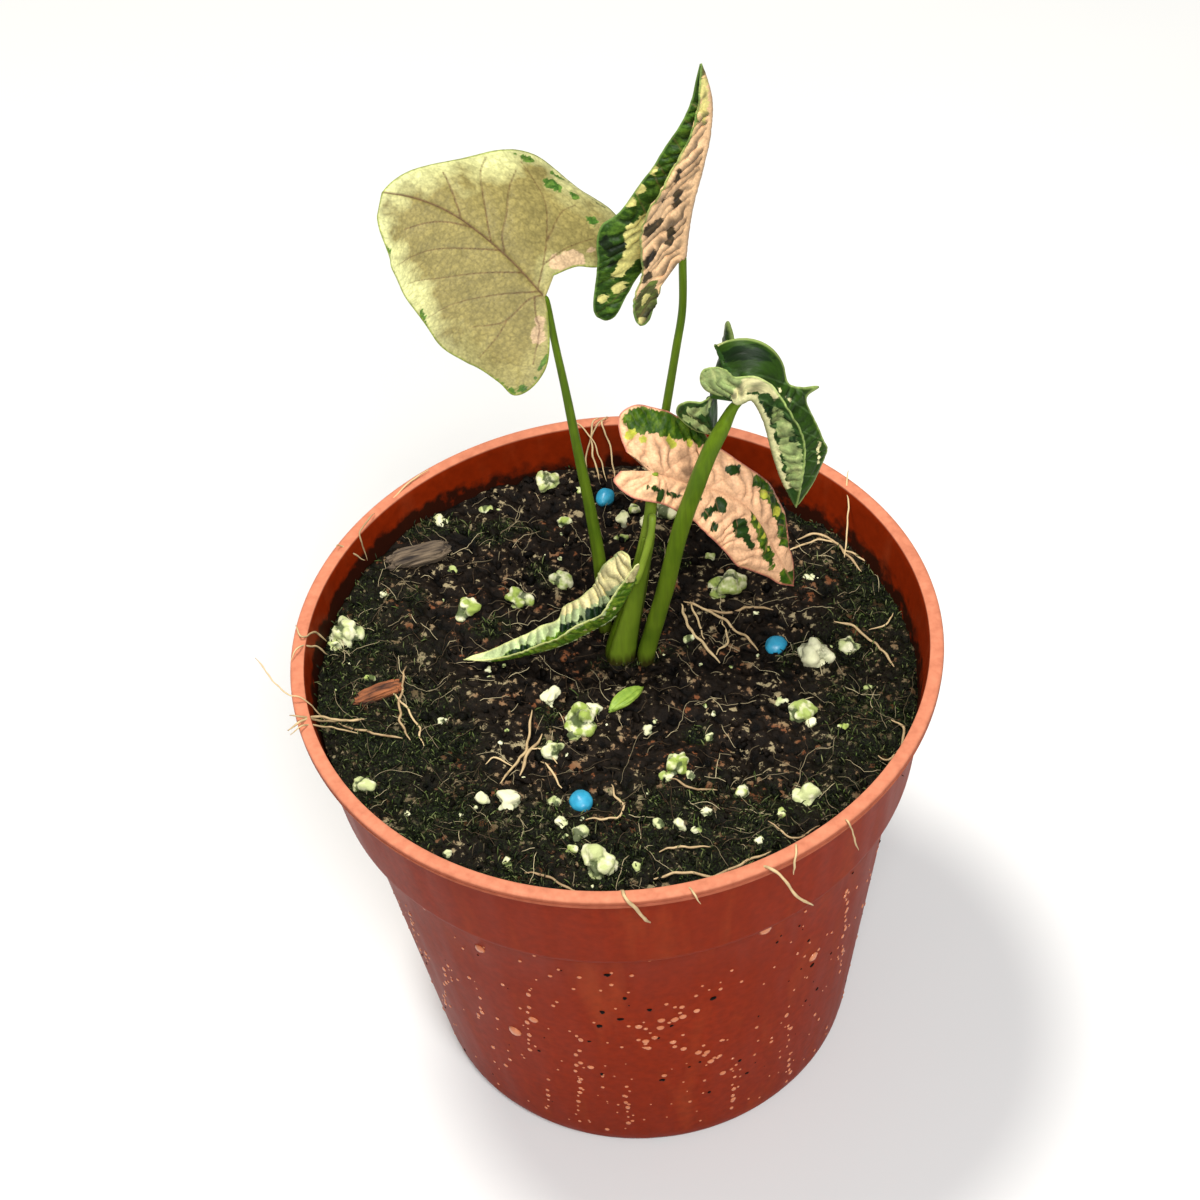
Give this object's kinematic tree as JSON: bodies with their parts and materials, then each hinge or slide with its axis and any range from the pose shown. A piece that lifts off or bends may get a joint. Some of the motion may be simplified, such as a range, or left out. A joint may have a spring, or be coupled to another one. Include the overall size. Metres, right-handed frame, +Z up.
{
  "type": "arrowhead plant",
  "caption": "Young arrowhead plant with variegated lobed leaves on slender stalks, growing from soil in a round collared nursery pot.",
  "frame": {"origin": "middle of the pot's base, at the height of its standing ring", "axes": "+Z up along the pot's axis, +X to the side where the nodding leaf hangs, +Y to the far side of the crown from the drooping young leaf's tip"},
  "size_m": [0.12, 0.12, 0.2093],
  "materials": {
    "pot_plastic": "satin moulded terracotta plastic with fine water droplets",
    "soil": "dark moist peat with crumbs and fibres",
    "stalk": "smooth green stalk with a satin skin",
    "scrap": "thin green scrap of leaf",
    "pale_blade": "cream and olive blade with sunken brown veins",
    "pink_blade": "pink blade with dark green blotches",
    "green_blade": "glossy dark green blade with cream and yellow-green streaks",
    "young_blade": "grey-green blade with a cream crinkled rim",
    "pellet": "smooth blue coating",
    "perlite": "porous off-white crumb",
    "bark": "weathered split bark",
    "root": "dry fibrous root"
  },
  "bodies": {
    "root": {"pot": "pot_plastic", "potting_soil": "soil", "crown": "stalk", "leaf_scrap": "scrap", "petiole_pale": "stalk", "petiole_upright": "stalk", "petiole_nodding": "stalk", "petiole_pink_and_young": "stalk", "blade_pale": "pale_blade", "blade_upright": "pink_blade", "blade_nodding": "green_blade", "blade_pink": "pink_blade", "blade_young": "young_blade", "fertiliser_pellet_1": "pellet", "fertiliser_pellet_2": "pellet", "fertiliser_pellet_3": "pellet", "perlite_1": "perlite", "perlite_2": "perlite", "perlite_3": "perlite", "perlite_4": "perlite", "perlite_5": "perlite", "perlite_6": "perlite", "perlite_7": "perlite", "perlite_8": "perlite", "perlite_9": "perlite", "perlite_10": "perlite", "perlite_11": "perlite", "perlite_12": "perlite", "perlite_13": "perlite", "perlite_14": "perlite", "perlite_15": "perlite", "perlite_16": "perlite", "perlite_17": "perlite", "perlite_18": "perlite", "bark_chip_1": "bark", "bark_chip_2": "bark", "root_1": "root", "root_2": "root", "root_3": "root", "root_4": "root", "root_5": "root", "root_6": "root"}
  },
  "joints": []
}
